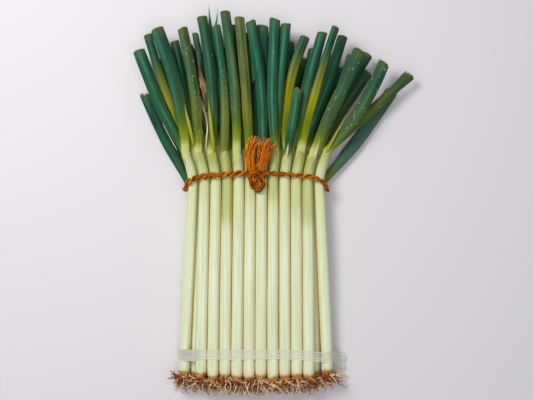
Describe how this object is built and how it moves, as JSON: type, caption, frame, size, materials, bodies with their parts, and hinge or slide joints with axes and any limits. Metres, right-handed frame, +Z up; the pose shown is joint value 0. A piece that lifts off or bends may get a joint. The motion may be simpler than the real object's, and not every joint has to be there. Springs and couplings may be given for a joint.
{
  "type": "spring onion bunch",
  "caption": "Flat bunch of long white-shanked spring onions with trimmed leaves, tied with straw rope and held by a clear film band.",
  "frame": {"origin": "middle of the bunch's footprint, on the surface that it lies on", "axes": "+Y along the bunch from the roots to the leaf tips, +Z up from the surface, +X to the right seen from above"},
  "size_m": [0.4202, 0.5738, 0.0572],
  "materials": {
    "shank": "satin",
    "leaf": "satin",
    "straw": "matte",
    "film": "gloss"
  },
  "bodies": {
    "root": {"onion_01_stem": "shank", "onion_01_leaves": "leaf", "onion_02_stem": "shank", "onion_02_leaves": "leaf", "onion_03_stem": "shank", "onion_03_leaves": "leaf", "onion_04_stem": "shank", "onion_04_leaves": "leaf", "onion_05_stem": "shank", "onion_05_leaves": "leaf", "onion_06_stem": "shank", "onion_06_leaves": "leaf", "onion_07_stem": "shank", "onion_07_leaves": "leaf", "onion_08_stem": "shank", "onion_08_leaves": "leaf", "onion_09_stem": "shank", "onion_09_leaves": "leaf", "onion_10_stem": "shank", "onion_10_leaves": "leaf", "onion_11_stem": "shank", "onion_11_leaves": "leaf", "onion_12_stem": "shank", "onion_12_leaves": "leaf", "onion_13_stem": "shank", "onion_13_leaves": "leaf", "onion_14_stem": "shank", "onion_14_leaves": "leaf", "onion_15_stem": "shank", "onion_15_leaves": "leaf", "onion_16_stem": "shank", "onion_16_leaves": "leaf", "onion_17_stem": "shank", "onion_17_leaves": "leaf", "onion_18_stem": "shank", "onion_18_leaves": "leaf", "onion_19_stem": "shank", "onion_19_leaves": "leaf", "onion_20_stem": "shank", "onion_20_leaves": "leaf", "onion_21_stem": "shank", "onion_21_leaves": "leaf", "onion_22_stem": "shank", "onion_22_leaves": "leaf", "onion_23_stem": "shank", "onion_23_leaves": "leaf", "outer_leaf_left": "leaf", "outer_leaf_right": "leaf", "straw_rope": "straw", "clear_band": "film"}
  },
  "joints": []
}
